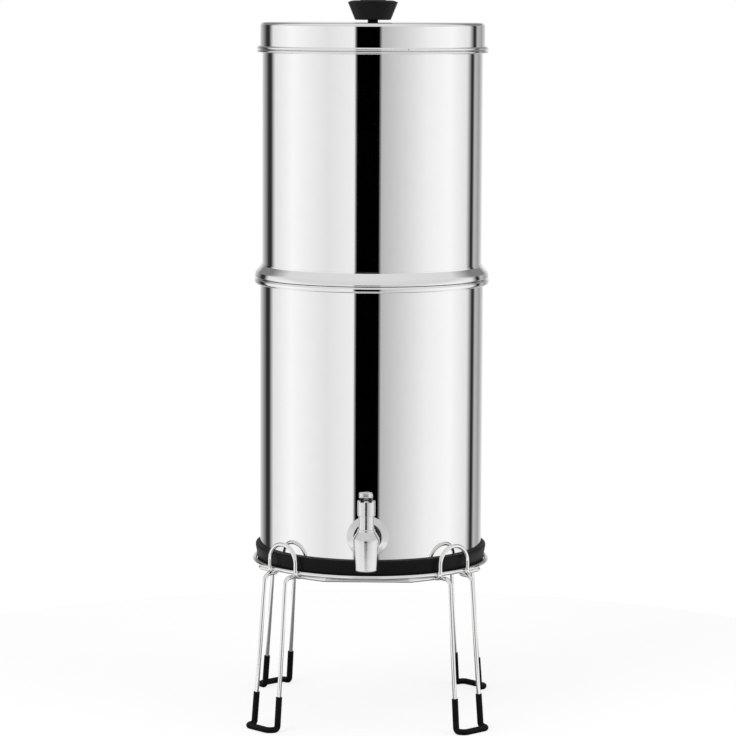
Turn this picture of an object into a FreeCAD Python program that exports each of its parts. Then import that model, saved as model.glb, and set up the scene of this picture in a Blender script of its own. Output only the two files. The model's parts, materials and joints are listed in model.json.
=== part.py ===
"""A two-tank gravity water filter with a tap, standing in a bent-wire stand.

Millimetres. The origin is on the floor under the tanks' axis, +Z is up and the tap faces -Y.
"""

import FreeCAD, Part
import math
import os

from FreeCAD import Vector

# Sheet steel
SHEET = 0.8                  # thickness of the tanks, the lid, the collar and the locating ring
SEAT_GAP = 0.3               # between pieces that lift off each other
WELD_SINK = 0.3              # depth by which welded wires melt into each other
FIT = 0.05                   # radial clearance of a screw or a pin in its hole
SLIDE_FIT = 0.06             # radial clearance of the stem in the bonnet

# Stand
RING_WIRE = 4.2
LEG_WIRE = 4.0
ARCH_WIRE = 4.0
RING_CLEARANCE = 0.4         # between the ring's wire and the rubber base ring
RING_HEIGHT = 150.5          # floor to the middle of the ring's wire
BAR_HALF_LENGTH = 41.0       # straight bar under the front, back and sides, from its middle to its bend
BAR_INSET = 7.8              # how far the bars' line lies inside the ring's wire
STUB_INSET = 4.0             # how far the leg wires turn in under the ring
LEG_GAP_TOP = 29.0           # between the two wires of a leg, at the ring
LEG_GAP_FOOT = 33.0          # the same at the floor
LEG_STAND_OFF = 11.6         # how far a leg's top stands outside the ring's wire
LEG_SPLAY = 4.9              # degrees from upright
TOE_LENGTH = 9.6
UNDER_BEND = 6.0
KNEE_BEND = 6.0
HEEL_BEND = 3.6
TOE_BEND = 5.6
ARCH_RISE = 25.5             # from the ring's wire to the middle of the arch's crown
ARCH_CROWN_BEND = 17.0
ARCH_HOOK = 9.0
ARCH_HOOK_BEND = 4.5
SLEEVE_WALL = 1.0
SLEEVE_HEIGHT = 33.4
SLEEVE_FLAT = 0.4            # depth of the worn flat under each toe
SLEEVE_FIT = 0.03

# Lower tank
TANK_OD = 216.0
TANK_HEIGHT = 274.0          # bottom to the top of the rolled rim
TANK_FLOOR_BEND = 5.0
FLOOR_RISE = 4.0             # raised middle of the floor
FLOOR_MARGIN = 24.0          # from the raised middle to the wall
RIM_WIDTH = 5.5              # how far the rolled rim stands out from the wall
RIM_DEPTH = 6.0
RIM_BEND = 2.0
MIN_BEND = 0.8

# Rubber base ring
BASE_HEIGHT = 17.2
BASE_LIP = 3.0               # rubber under the tank's floor
BASE_LIP_WIDTH = 14.0
BASE_FLARE = 1.9             # how much wider the ring is at the top
BASE_EDGE = 1.4
BASE_FIT = 0.1

# Upper tank
NEST_CLEARANCE = 1.2         # between the two tanks' walls where one sits in the other
UPPER_HEIGHT = 240.2         # bottom to the top of the hemmed rim
UPPER_NEST = 21.6            # how deep the upper tank sits in the lower one
UPPER_FLOOR_BEND = 4.0
HEM_WIDTH = 5.5
HEM_GAP = 0.8
COLLAR_LIP = 5.2
COLLAR_SLOPE = 6.2

# Lid
LID_OVERHANG = 2.1           # how far the lid's skirt stands out from the upper tank
LID_HEIGHT = 26.1
LID_CORNER = 3.4
LID_BEAD_WIDTH = 3.4         # how far the lid's bead stands out from its skirt
LID_BEAD_DEPTH = 3.4
LOCATING_DEPTH = 10.0        # how far the ring under the lid reaches into the tank
LOCATING_BAND = 9.0

# Knob
KNOB_TOP_D = 48.0
KNOB_BOTTOM_D = 34.5
KNOB_HEIGHT = 20.6
KNOB_RIM = 1.2
KNOB_DOME = 3.0
KNOB_EDGE = 1.4
KNOB_WALL = 3.4
KNOB_BOSS_D = 10.4
KNOB_NECK = 2.4              # gap that the boss leaves between the lid and the knob
SCREW_D = 5.0
SCREW_GRIP = 13.0
SCREW_HEAD_D = 9.5
SCREW_HEAD = 3.2
KNOB_WASHER_D = 16.0
WASHER = 1.2

# Filter elements
FILTER_D = 60.0
FILTER_LENGTH = 204.0
FILTER_BORE_D = 20.0
FILTER_PITCH = 100.0         # between the two elements, and between the two blanked holes
FILTER_CAP_WALL = 2.0
FILTER_CAP_DEPTH = 8.0
FILTER_CAP_END = 3.0
FILTER_STEM_D = 11.6
FILTER_STEM_LENGTH = 27.0
FILTER_STEM_BORE_D = 5.0
FILTER_WASHER_D = 28.0
FILTER_WASHER = 2.5
STEM_HOLE_CLEARANCE = 0.3
WING_NUT_D = 20.0
WING_NUT = 7.0
WING_SPAN = 36.0
WING_RISE = 9.0
WING_THICK = 3.0
PLUG_HEAD_D = 22.0
PLUG_HEAD = 4.0
PLUG_LENGTH = 17.0

# Tap
TAP_HEIGHT = 37.0            # the shank's axis above the tank's bottom
TAP_REACH = 45.0             # tank wall to the spout's axis
SHANK_D = 15.8
SHANK_INSIDE = 22.0
SHANK_BORE_D = 8.6
SHANK_HOLE_CLEARANCE = 0.2
SHOULDER_D = 19.0            # collar on the shank that presses the flange plate
SHOULDER = 4.0
FLANGE_D = 39.5
FLANGE = 3.4
FLANGE_EDGE = 1.1
GASKET_D = 33.0
GASKET = 1.0
GASKET_FIT = 0.05
TAP_NUT_ACROSS = 24.0
TAP_NUT = 7.0
SPOUT_DROP = 24.6            # shank axis to the spout's mouth
SPOUT_MOUTH_D = 19.4
BELLY_D = 25.4
BELLY_RISE = 6.0
BELLY_BEND = 7.0
SHOULDER_TOP_D = 16.4
SHOULDER_RISE = 13.0
BAND = 1.6
BAND_D = 16.6
NECK_D = 14.5
NECK_TOP = 27.7              # shank axis to the bonnet's lower edge
NECK_THREAD = 7.3
OUTLET_D = 8.6
CHAMBER_D = 12.0
SEAT_DROP = 5.2
SPOUT_LIP = 1.5
BONNET_D = 16.6
BONNET_HEIGHT = 14.3
BONNET_ROOF = 3.2
BONNET_EDGE = 1.0
BONNET_BORE_D = 11.2
SEAT_TOUCH = 0.05
CUP_D = 11.0
CUP = 6.0
CUP_SOCKET = 4.0
CUP_STUD_D = 3.6
STEM_D = 5.2
STEM_FLANGE_D = 10.8
STEM_FLANGE = 1.5
STEM_ABOVE_EYE = 3.6
STEM_FLAT_GAP = 0.3          # between the flat on the stem's front and the lever's hub
SPRING_WIRE = 0.9
SPRING_MEAN_D = 8.6
SPRING_TURNS = 9
SPRING_GAP = 0.05

# Tap lever
PIVOT_RISE = 4.6             # bonnet's top to the pivot
PIVOT_ARM = 4.6              # stem's axis to the pivot
PIN_D = 2.4
PIN_HEAD_D = 3.6
PIN_HEAD = 0.8
EAR_R = 3.6
EAR = 3.2
EAR_GAP = 0.15
BLADE = 4.0
BLADE_R = 3.3
FINGER = 2.6
FINGER_R = 1.2
FINGER_NECK = 1.4
EYE_SIDE = 0.2
EYE_PLAY = 0.15
LEVER_TRAVEL = 25.0          # degrees that the lever is pressed down
LEVER_RISE = 10.0            # degrees that the lever points up at rest
LEVER_LENGTH = 26.0
PADDLE_LENGTH = 12.0
PADDLE_WIDTH = 12.4
PADDLE_THICK = 5.6
PADDLE_EDGE = 1.5

# Heights that follow
UP = Vector(0, 0, 1)
TANK_R = TANK_OD / 2
UPPER_R = TANK_R - SHEET - NEST_CLEARANCE
LID_R = UPPER_R + LID_OVERHANG
rim_outer_r = TANK_R + RIM_WIDTH
floor_panel_r = TANK_R - FLOOR_MARGIN
bar_height = RING_HEIGHT - (RING_WIRE + LEG_WIRE) / 2 + WELD_SINK
base_bottom = bar_height + LEG_WIRE / 2 + SEAT_GAP
tank_bottom = base_bottom + BASE_LIP
rim_top = tank_bottom + TANK_HEIGHT
collar_bottom = rim_top + SEAT_GAP
upper_bottom = collar_bottom - UPPER_NEST
hem_top = upper_bottom + UPPER_HEIGHT
lid_bottom = hem_top + SEAT_GAP
lid_top = lid_bottom + LID_HEIGHT
base_outer_r = TANK_R + BASE_FIT + BASE_EDGE + 1.0
ring_r = base_outer_r + RING_CLEARANCE + RING_WIRE / 2
tap_z = tank_bottom + TAP_HEIGHT
spout_y = -(TANK_R + TAP_REACH)


def revolve(edges, place=Vector(0, 0, 0)):
    """Turn a closed outline, drawn in X and Z, once round the upright axis through a place."""
    face = Part.Face(Part.Wire(Part.__sortEdges__(edges)))
    solid = face.revolve(Vector(0, 0, 0), UP, 360)
    solid.translate(place)
    return solid


def bend(before, corner, after, radius):
    """Start, middle and end of the tangent arc that rounds a corner."""
    to_before = (before - corner).normalize()
    to_after = (after - corner).normalize()
    half = to_before.getAngle(to_after) / 2
    reach = radius / math.tan(half)
    middle_way = (to_before + to_after).normalize()
    centre = corner + middle_way * (radius / math.sin(half))
    middle = centre - middle_way * radius
    return corner + to_before * reach, middle, corner + to_after * reach, centre


def bent_edges(points, radii):
    """Straight runs joined by tangent arcs; a radius of 0 keeps the corner sharp."""
    edges = []
    here = points[0]
    for index in range(1, len(points) - 1):
        if radii[index] == 0:
            edges.append(Part.LineSegment(here, points[index]).toShape())
            here = points[index]
            continue
        start, middle, end, _ = bend(points[index - 1], points[index], points[index + 1], radii[index])
        if here.distanceToPoint(start) > 1e-4:
            edges.append(Part.LineSegment(here, start).toShape())
        edges.append(Part.Arc(start, middle, end).toShape())
        here = end
    if here.distanceToPoint(points[-1]) > 1e-4:
        edges.append(Part.LineSegment(here, points[-1]).toShape())
    return edges


def outline(corners):
    """Closed outline in X and Z from (x, z, radius) corners."""
    points = [Vector(x, 0, z) for x, z, _ in corners]
    radii = [radius for _, _, radius in corners]
    first = (points[0] + points[-1]) * 0.5
    return bent_edges([first] + points + [first], [0] + radii + [0])


def turned(corners, place=Vector(0, 0, 0)):
    """Solid turned from (x, z, radius) corners."""
    return revolve(outline(corners), place)


def sheet_ring(path, thickness=SHEET):
    """Turned sheet metal whose middle line follows (r, z, bend) points."""
    points = [Vector(r, 0, z) for r, z, _ in path]
    sides = []
    for side in (thickness / 2, -thickness / 2):
        edges = []
        here = None
        for index, point in enumerate(points):
            if index in (0, len(points) - 1):
                other = points[1] if index == 0 else points[-2]
                along = (other - point if index == 0 else point - other).normalize()
                spot = point + Vector(-along.z, 0, along.x) * side
                if here is not None:
                    edges.append(Part.LineSegment(here, spot).toShape())
                here = spot
                continue
            start, middle, end, centre = bend(points[index - 1], point, points[index + 1], path[index][2])
            along = (point - points[index - 1]).normalize()
            left = Vector(-along.z, 0, along.x)
            inward = 1 if left.dot(centre - point) > 0 else -1
            radius = path[index][2] - inward * side
            arc = [centre + (spot - centre).normalize() * radius for spot in (start, middle, end)]
            if here is not None and here.distanceToPoint(arc[0]) > 1e-4:
                edges.append(Part.LineSegment(here, arc[0]).toShape())
            edges.append(Part.Arc(*arc).toShape())
            here = arc[2]
        sides.append((edges, here))
    starts = [side[0][0].valueAt(side[0][0].FirstParameter) for side in sides]
    ends = [side[1] for side in sides]
    caps = [Part.LineSegment(starts[0], starts[1]).toShape(), Part.LineSegment(ends[0], ends[1]).toShape()]
    if starts[0].x < 1e-6:
        caps[0] = Part.LineSegment(Vector(0, 0, starts[0].z), Vector(0, 0, starts[1].z)).toShape()
    return revolve(sides[0][0] + sides[1][0] + caps)


def tube(edges, diameter):
    """Round wire along a path of runs and arcs."""
    path = Part.Wire(edges)
    start = edges[0].valueAt(edges[0].FirstParameter)
    along = edges[0].tangentAt(edges[0].FirstParameter)
    section = Part.Wire(Part.makeCircle(diameter / 2, start, along))
    solid = path.makePipeShell([section], True, False)
    expected = math.pi * diameter ** 2 / 4 * path.Length
    if abs(abs(solid.Volume) / expected - 1) > 0.01:
        print("wire volume is off:", solid.Volume, expected)
    return solid


def bent_wire(points, radii, diameter):
    """Round wire bent at its corners."""
    return tube(bent_edges(points, radii), diameter)


def cylinder(diameter, length, place, axis=UP):
    """Plain round bar or hole."""
    return Part.makeCylinder(diameter / 2, length, place, axis)


def block(low, high):
    """Box between two corners."""
    size = high - low
    return Part.makeBox(size.x, size.y, size.z, low)


def washer(outer, inner, thickness, place, axis=UP):
    """Flat ring."""
    return cylinder(outer, thickness, place, axis).cut(cylinder(inner, thickness, place, axis))


def around(solid, degrees):
    """Copy of a solid turned about the tanks' axis."""
    copy = solid.copy()
    copy.rotate(Vector(0, 0, 0), UP, degrees)
    return copy


def save(name, shape):
    """Write one sub-part."""
    if not shape.isValid():
        print("not valid:", name)
    shape.exportStep("parts/" + name + ".step")
    box = shape.BoundBox
    print(f"{name:26s} solids {len(shape.Solids)}  z {box.ZMin:8.2f} {box.ZMax:8.2f}  volume {shape.Volume:10.1f}")


def local(radial, across, height):
    """Point in a leg's own directions, for the leg in the +X +Y corner."""
    half = math.sqrt(0.5)
    return Vector((radial + across) * half, (radial - across) * half, height)


def leg_points():
    """Corners and bends of the leg in the +X +Y corner, from one bar's middle to the next one's."""
    bar_line = ring_r - BAR_INSET
    foot_height = LEG_WIRE / 2 + SLEEVE_WALL - SLEEVE_FLAT
    top_r = ring_r + LEG_STAND_OFF
    heel_r = top_r + (bar_height - foot_height) * math.tan(math.radians(LEG_SPLAY))
    toe_r = heel_r + TOE_LENGTH
    side = [
        (Vector(bar_line, 0, bar_height), 0),
        (Vector(bar_line, BAR_HALF_LENGTH, bar_height), UNDER_BEND),
        (local(ring_r - STUB_INSET, LEG_GAP_TOP / 2, bar_height), UNDER_BEND),
        (local(top_r, LEG_GAP_TOP / 2, bar_height), KNEE_BEND),
        (local(heel_r, LEG_GAP_FOOT / 2, foot_height), HEEL_BEND),
        (local(toe_r, LEG_GAP_FOOT / 2, foot_height), TOE_BEND),
    ]
    other = [(Vector(point.y, point.x, point.z), radius) for point, radius in reversed(side)]
    return side + other


def leg():
    """Leg wire: half of one bar, down to the toe, back up and half of the next bar."""
    path = leg_points()
    return bent_wire([point for point, _ in path], [radius for _, radius in path], LEG_WIRE)


def sleeve():
    """Rubber sleeve over one toe, with a flat where it stands."""
    path = leg_points()
    knee, heel = path[3][0], path[4][0]
    share = (SLEEVE_HEIGHT - heel.z) / (knee.z - heel.z)
    end = heel + (knee - heel) * share
    inner = [(end, 0)] + path[4:8] + [(Vector(end.y, end.x, end.z), 0)]
    points = [point for point, _ in inner]
    radii = [radius for _, radius in inner]
    skin = bent_wire(points, radii, LEG_WIRE + 2 * SLEEVE_WALL)
    bore = bent_wire(points, radii, LEG_WIRE + 2 * SLEEVE_FIT)
    reach = ring_r * 2
    floor = block(Vector(-reach, -reach, -10), Vector(reach, reach, 0))
    return skin.cut(bore).cut(floor)


def arch():
    """Hairpin that keeps the tank from sliding, in the +X +Y corner."""
    across = LEG_GAP_TOP / 2 + (LEG_WIRE + ARCH_WIRE) / 2 - WELD_SINK
    touching_r = ring_r + (RING_WIRE + ARCH_WIRE) / 2 - WELD_SINK
    radial = math.sqrt(touching_r ** 2 - across ** 2)
    low = RING_HEIGHT - (RING_WIRE + ARCH_WIRE) / 2 + WELD_SINK
    crown = RING_HEIGHT + ARCH_RISE
    side = [
        (local(radial - ARCH_HOOK, across, low), 0),
        (local(radial, across, low), ARCH_HOOK_BEND),
        (local(radial, across, crown), ARCH_CROWN_BEND),
    ]
    other = [(Vector(point.y, point.x, point.z), radius) for point, radius in reversed(side)]
    path = side + other
    return bent_wire([point for point, _ in path], [radius for _, radius in path], ARCH_WIRE)


def base_ring():
    """Rubber ring under the lower tank, with a lip below the tank's floor."""
    inner = TANK_R + BASE_FIT
    top = base_bottom + BASE_HEIGHT
    low_r = base_outer_r
    return turned([
        (TANK_R - BASE_LIP_WIDTH, base_bottom, 0.8),
        (low_r, base_bottom, BASE_EDGE),
        (low_r, RING_HEIGHT + RING_WIRE / 2, 3.0),
        (low_r + BASE_FLARE, top - BASE_EDGE * 2, 3.0),
        (low_r + BASE_FLARE, top, BASE_EDGE),
        (inner, top, 0.6),
        (inner, tank_bottom, 2.0),
        (TANK_R - BASE_LIP_WIDTH, tank_bottom, 0.8),
    ])


def lower_chamber():
    """Lower tank with a rolled rim and a hole for the tap."""
    mid_r = TANK_R - SHEET / 2
    floor_z = tank_bottom + SHEET / 2
    rim_z = rim_top - SHEET / 2
    shell = sheet_ring([
        (0, floor_z + FLOOR_RISE, 0),
        (floor_panel_r, floor_z + FLOOR_RISE, 3.0),
        (floor_panel_r + FLOOR_RISE, floor_z, 3.0),
        (mid_r, floor_z, TANK_FLOOR_BEND),
        (mid_r, rim_z, MIN_BEND),
        (rim_outer_r - SHEET / 2, rim_z, RIM_BEND),
        (rim_outer_r - SHEET / 2, rim_top - RIM_DEPTH + SHEET / 2, RIM_BEND),
        (TANK_R + 1.2, rim_top - RIM_DEPTH + SHEET / 2, 0),
    ])
    hole = cylinder(SHANK_D + 2 * SHANK_HOLE_CLEARANCE, 4 * TANK_FLOOR_BEND,
                    Vector(0, -TANK_R - TANK_FLOOR_BEND, tap_z), Vector(0, 1, 0))
    return shell.cut(hole)


def upper_chamber():
    """Upper tank with a hemmed rim and four holes in its floor."""
    mid_r = UPPER_R - SHEET / 2
    floor_z = upper_bottom + SHEET / 2
    hem_z = hem_top - SHEET / 2
    hem_r = UPPER_R + HEM_WIDTH - SHEET / 2
    shell = sheet_ring([
        (0, floor_z, 0),
        (mid_r, floor_z, UPPER_FLOOR_BEND),
        (mid_r, hem_z, MIN_BEND),
        (hem_r, hem_z, (SHEET + HEM_GAP) / 2),
        (hem_r, hem_z - SHEET - HEM_GAP, (SHEET + HEM_GAP) / 2),
        (UPPER_R + 0.5, hem_z - SHEET - HEM_GAP, 0),
    ])
    for place in hole_places():
        shell = shell.cut(cylinder(FILTER_STEM_D + 2 * STEM_HOLE_CLEARANCE, 4 * SHEET,
                                   place - UP * 2 * SHEET))
    return shell


def upper_collar():
    """Hollow collar round the upper tank, which seats on the lower tank's rim."""
    outer = rim_outer_r - SHEET / 2
    low = collar_bottom + SHEET / 2
    inner = UPPER_R + SHEET / 2 + FIT
    high = collar_bottom + COLLAR_LIP
    return sheet_ring([
        (inner, low + SHEET * 2, 0),
        (inner, low, MIN_BEND),
        (outer, low, MIN_BEND),
        (outer, high, 1.2),
        (inner, high + COLLAR_SLOPE, 1.2),
        (inner, high + COLLAR_SLOPE + SHEET * 2, 0),
    ])


def hole_places():
    """The floor's holes: the elements' left and right, then the blanked ones front and back."""
    half = FILTER_PITCH / 2
    corners = [(-half, 0), (half, 0), (0, -half), (0, half)]
    return [Vector(x, y, upper_bottom) for x, y in corners]


def filter_parts(place):
    """One filter element with its caps, washer and wing nut, by name."""
    seat = place + UP * SHEET
    base_z = FILTER_WASHER
    body_z = base_z + FILTER_CAP_END
    body_top = body_z + FILTER_LENGTH
    cap_r = FILTER_D / 2 + FILTER_CAP_WALL
    body_r = FILTER_D / 2
    bore_r = FILTER_BORE_D / 2
    element = turned([
        (bore_r, body_z, 0), (body_r, body_z, 0), (body_r, body_top, 0), (bore_r, body_top, 0),
    ], seat)
    top_cap = turned([
        (0, body_top, 0), (body_r + FIT, body_top, 0), (body_r + FIT, body_top - FILTER_CAP_DEPTH, 0),
        (cap_r, body_top - FILTER_CAP_DEPTH, 0), (cap_r, body_top + FILTER_CAP_END, 1.5),
        (0, body_top + FILTER_CAP_END, 0),
    ], seat)
    stem_r = FILTER_STEM_D / 2
    base = turned([
        (FILTER_STEM_BORE_D / 2, -FILTER_STEM_LENGTH, 0), (stem_r, -FILTER_STEM_LENGTH, 0.8),
        (stem_r, base_z, 0), (cap_r, base_z, 1.0), (cap_r, body_z + FILTER_CAP_DEPTH, 0),
        (body_r + FIT, body_z + FILTER_CAP_DEPTH, 0), (body_r + FIT, body_z, 0),
        (FILTER_STEM_BORE_D / 2, body_z, 0),
    ], seat)
    seal = washer(FILTER_WASHER_D, FILTER_STEM_D + 2 * FIT, FILTER_WASHER, seat)
    nut = wing_nut(place - UP * WING_NUT)
    return {"element": element, "top_cap": top_cap, "base": base, "washer": seal, "wing_nut": nut}


def wing_nut(place):
    """Wing nut whose flat side is up, against the tank's floor."""
    hub = turned([
        (0, 0, 0), (WING_NUT_D / 2 - 1.5, 0, 0), (WING_NUT_D / 2, WING_NUT - 1.5, 0),
        (WING_NUT_D / 2, WING_NUT, 0), (0, WING_NUT, 0),
    ])
    wing = block(Vector(-WING_SPAN / 2, -WING_THICK / 2, -WING_RISE),
                 Vector(WING_SPAN / 2, WING_THICK / 2, WING_NUT - 2.0))
    gap = block(Vector(-WING_NUT_D / 2, -WING_THICK, -WING_RISE), Vector(WING_NUT_D / 2, WING_THICK, 0))
    wing = wing.cut(gap)
    wing = wing.makeFillet(3.0, [edge for edge in wing.Edges
                                 if edge.Length < WING_THICK + 0.01
                                 and abs(edge.CenterOfMass.x) > WING_SPAN / 2 - 0.01])
    bore = cylinder(FILTER_STEM_D + 2 * FIT, WING_NUT + 2, Vector(0, 0, -1))
    nut = hub.fuse(wing).cut(bore).removeSplitter()
    nut.translate(place)
    return nut


def blanking_plug(place):
    """Plug for an unused hole, with its washer and nut."""
    seat = place + UP * SHEET
    stem_r = FILTER_STEM_D / 2
    plug = turned([
        (0, FILTER_WASHER - PLUG_LENGTH, 0), (stem_r, FILTER_WASHER - PLUG_LENGTH, 0.8),
        (stem_r, FILTER_WASHER, 0), (PLUG_HEAD_D / 2, FILTER_WASHER, 0),
        (PLUG_HEAD_D / 2, FILTER_WASHER + PLUG_HEAD, 1.2), (0, FILTER_WASHER + PLUG_HEAD, 0),
    ], seat)
    seal = washer(FILTER_WASHER_D, FILTER_STEM_D + 2 * FIT, FILTER_WASHER, seat)
    return plug, seal, wing_nut(place - UP * WING_NUT)


def lid_shell():
    """Lid spun from sheet, with a rolled bead at its lower edge."""
    mid_r = LID_R - SHEET / 2
    bead_r = LID_R + LID_BEAD_WIDTH - SHEET / 2
    low = lid_bottom + SHEET / 2
    high = lid_bottom + LID_BEAD_DEPTH - SHEET / 2
    shell = sheet_ring([
        (0, lid_top - SHEET / 2, 0),
        (mid_r, lid_top - SHEET / 2, LID_CORNER - SHEET / 2),
        (mid_r, low, MIN_BEND),
        (bead_r, low, (high - low) / 2),
        (bead_r, high, (high - low) / 2),
        (LID_R + 0.8, high, 0),
    ])
    return shell.cut(cylinder(SCREW_D + 4 * FIT, 4 * SHEET, Vector(0, 0, lid_top - 2 * SHEET)))


def lid_locating_ring():
    """Ring welded inside the lid, which drops into the mouth of the upper tank."""
    band_r = LID_R - SHEET * 1.5 - FIT
    tongue_r = UPPER_R - SHEET * 1.5 - SEAT_GAP
    step = hem_top + SEAT_GAP + SHEET
    return sheet_ring([
        (band_r, step + LOCATING_BAND, 0),
        (band_r, step, MIN_BEND),
        (tongue_r, step, MIN_BEND),
        (tongue_r, hem_top - LOCATING_DEPTH, 0),
    ])


def knob():
    """Moulded knob: a cone with a rolled top edge, hollow below, on a central boss."""
    bottom = lid_top + KNOB_NECK
    top = bottom + KNOB_HEIGHT
    top_r = KNOB_TOP_D / 2
    low_r = KNOB_BOTTOM_D / 2
    boss_r = KNOB_BOSS_D / 2
    roof = top - KNOB_DOME - KNOB_RIM
    body = turned([
        (0, lid_top, 0),
        (boss_r, lid_top, 0.5),
        (boss_r - 0.6, bottom + 2.0, 0),
        (boss_r - 0.6, roof, 2.0),
        (low_r - KNOB_WALL, roof, 2.0),
        (low_r - KNOB_WALL, bottom, 0),
        (low_r, bottom, 1.0),
        (top_r, top - KNOB_DOME - KNOB_RIM, 2.0),
        (top_r, top - KNOB_DOME, KNOB_EDGE),
        (top_r * 0.55, top - KNOB_DOME * 0.15, 40.0),
        (0, top, 0),
    ])
    return body.cut(cylinder(SCREW_D + 2 * FIT, SCREW_GRIP + 0.5, Vector(0, 0, lid_top)))


def knob_screw():
    """Pan-head screw from inside the lid up into the knob, with a cross recess."""
    head_top = lid_top - SHEET - WASHER
    body = turned([
        (0, head_top - SCREW_HEAD, 0), (SCREW_HEAD_D / 2, head_top - SCREW_HEAD, 1.4),
        (SCREW_HEAD_D / 2, head_top, 0), (SCREW_D / 2, head_top, 0),
        (SCREW_D / 2, lid_top + SCREW_GRIP, 0.5), (0, lid_top + SCREW_GRIP, 0),
    ])
    for turn in (0, 90):
        slot = block(Vector(-2.4, -0.5, head_top - SCREW_HEAD - 1), Vector(2.4, 0.5, head_top - SCREW_HEAD + 1.6))
        body = body.cut(around(slot, turn))
    return body


def hexagon(across, thickness, place, axis):
    """Hexagonal nut blank."""
    corner = across / math.sqrt(3)
    points = []
    for step in range(7):
        angle = math.radians(60 * step)
        points.append(Vector(corner * math.cos(angle), corner * math.sin(angle), 0))
    solid = Part.Face(Part.makePolygon(points)).extrude(UP * thickness)
    solid.Placement = FreeCAD.Placement(place, FreeCAD.Rotation(UP, axis))
    return solid


def tap_body():
    """Cast body: shank through the tank's wall, belly, spout and threaded neck."""
    mouth = tap_z - SPOUT_DROP
    shoulder = tap_z + SHOULDER_RISE
    neck = tap_z + NECK_TOP
    seat = tap_z - SEAT_DROP
    outer = turned([
        (0, mouth, 0),
        (SPOUT_MOUTH_D / 2, mouth, SPOUT_LIP),
        (BELLY_D / 2, tap_z + BELLY_RISE, BELLY_BEND),
        (SHOULDER_TOP_D / 2, shoulder, 0.6),
        (BAND_D / 2, shoulder + 0.2, 0),
        (BAND_D / 2, shoulder + BAND, 0.4),
        (NECK_D / 2, shoulder + BAND, 0.6),
        (NECK_D / 2, neck + NECK_THREAD, 0.5),
        (0, neck + NECK_THREAD, 0),
    ], Vector(0, spout_y, 0))
    back = Vector(0, 1, 0)
    axis_start = Vector(0, spout_y, tap_z)
    shank = cylinder(SHANK_D, TAP_REACH + SHANK_INSIDE, axis_start, back)
    collar_y = -(TANK_R + GASKET + FLANGE)
    collar = cylinder(SHOULDER_D, SHOULDER, Vector(0, collar_y - SHOULDER, tap_z), back)
    body = outer.fuse(shank).fuse(collar)
    body = body.cut(cylinder(OUTLET_D, SPOUT_DROP, Vector(0, spout_y, mouth)))
    body = body.cut(cylinder(CHAMBER_D, NECK_TOP + NECK_THREAD + SEAT_DROP + 1, Vector(0, spout_y, seat)))
    body = body.cut(cylinder(SHANK_BORE_D, TAP_REACH + SHANK_INSIDE + 1, axis_start, back))
    return body


def tap_flange():
    """Round plate that covers the hole in the tank."""
    face_y = -(TANK_R + GASKET)
    plate = turned([
        (SHANK_D / 2 + FIT, 0, 0),
        (FLANGE_D / 2, 0, 0),
        (FLANGE_D / 2, FLANGE_EDGE, 0.5),
        (FLANGE_D / 2 - 6.0, FLANGE, 5.0),
        (SHANK_D / 2 + FIT, FLANGE, 0),
    ])
    plate.Placement = FreeCAD.Placement(Vector(0, face_y, tap_z), FreeCAD.Rotation(UP, Vector(0, -1, 0)))
    return plate


def tap_gaskets():
    """Soft washers outside and inside the tank's wall, each moulded to its curve."""
    forward = Vector(0, -1, 0)
    hole = cylinder(SHANK_D + 2 * FIT, 6 * GASKET_D, Vector(0, 0, tap_z), forward)
    outside = cylinder(GASKET_D, TANK_R + GASKET, Vector(0, 0, tap_z), forward)
    wall = cylinder(TANK_OD + 2 * GASKET_FIT, 2 * GASKET_D, Vector(0, 0, tap_z - GASKET_D))
    outside = outside.cut(wall).cut(hole)
    inner_face = inner_gasket_face()
    inside = cylinder(GASKET_D - 4, GASKET_D, Vector(0, -inner_face, tap_z), forward)
    bore = cylinder(TANK_OD - 2 * SHEET - 2 * GASKET_FIT, 2 * GASKET_D, Vector(0, 0, tap_z - GASKET_D))
    inside = inside.common(bore).cut(hole)
    return outside, inside


def inner_gasket_face():
    """Distance from the tanks' axis to the flat back of the inner washer."""
    half = (GASKET_D - 4) / 2
    return math.sqrt((TANK_R - SHEET) ** 2 - half ** 2) - GASKET


def tap_nut():
    """Hexagonal nut on the shank, inside the tank."""
    back = Vector(0, 1, 0)
    start = Vector(0, -inner_gasket_face(), tap_z)
    nut = hexagon(TAP_NUT_ACROSS, TAP_NUT, start, back)
    return nut.cut(cylinder(SHANK_D + 2 * FIT, TAP_NUT, start, back))


def pivot():
    """The lever's axis, at the middle of its pin."""
    return Vector(0, spout_y - PIVOT_ARM, tap_z + NECK_TOP + BONNET_HEIGHT + PIVOT_RISE)


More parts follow.
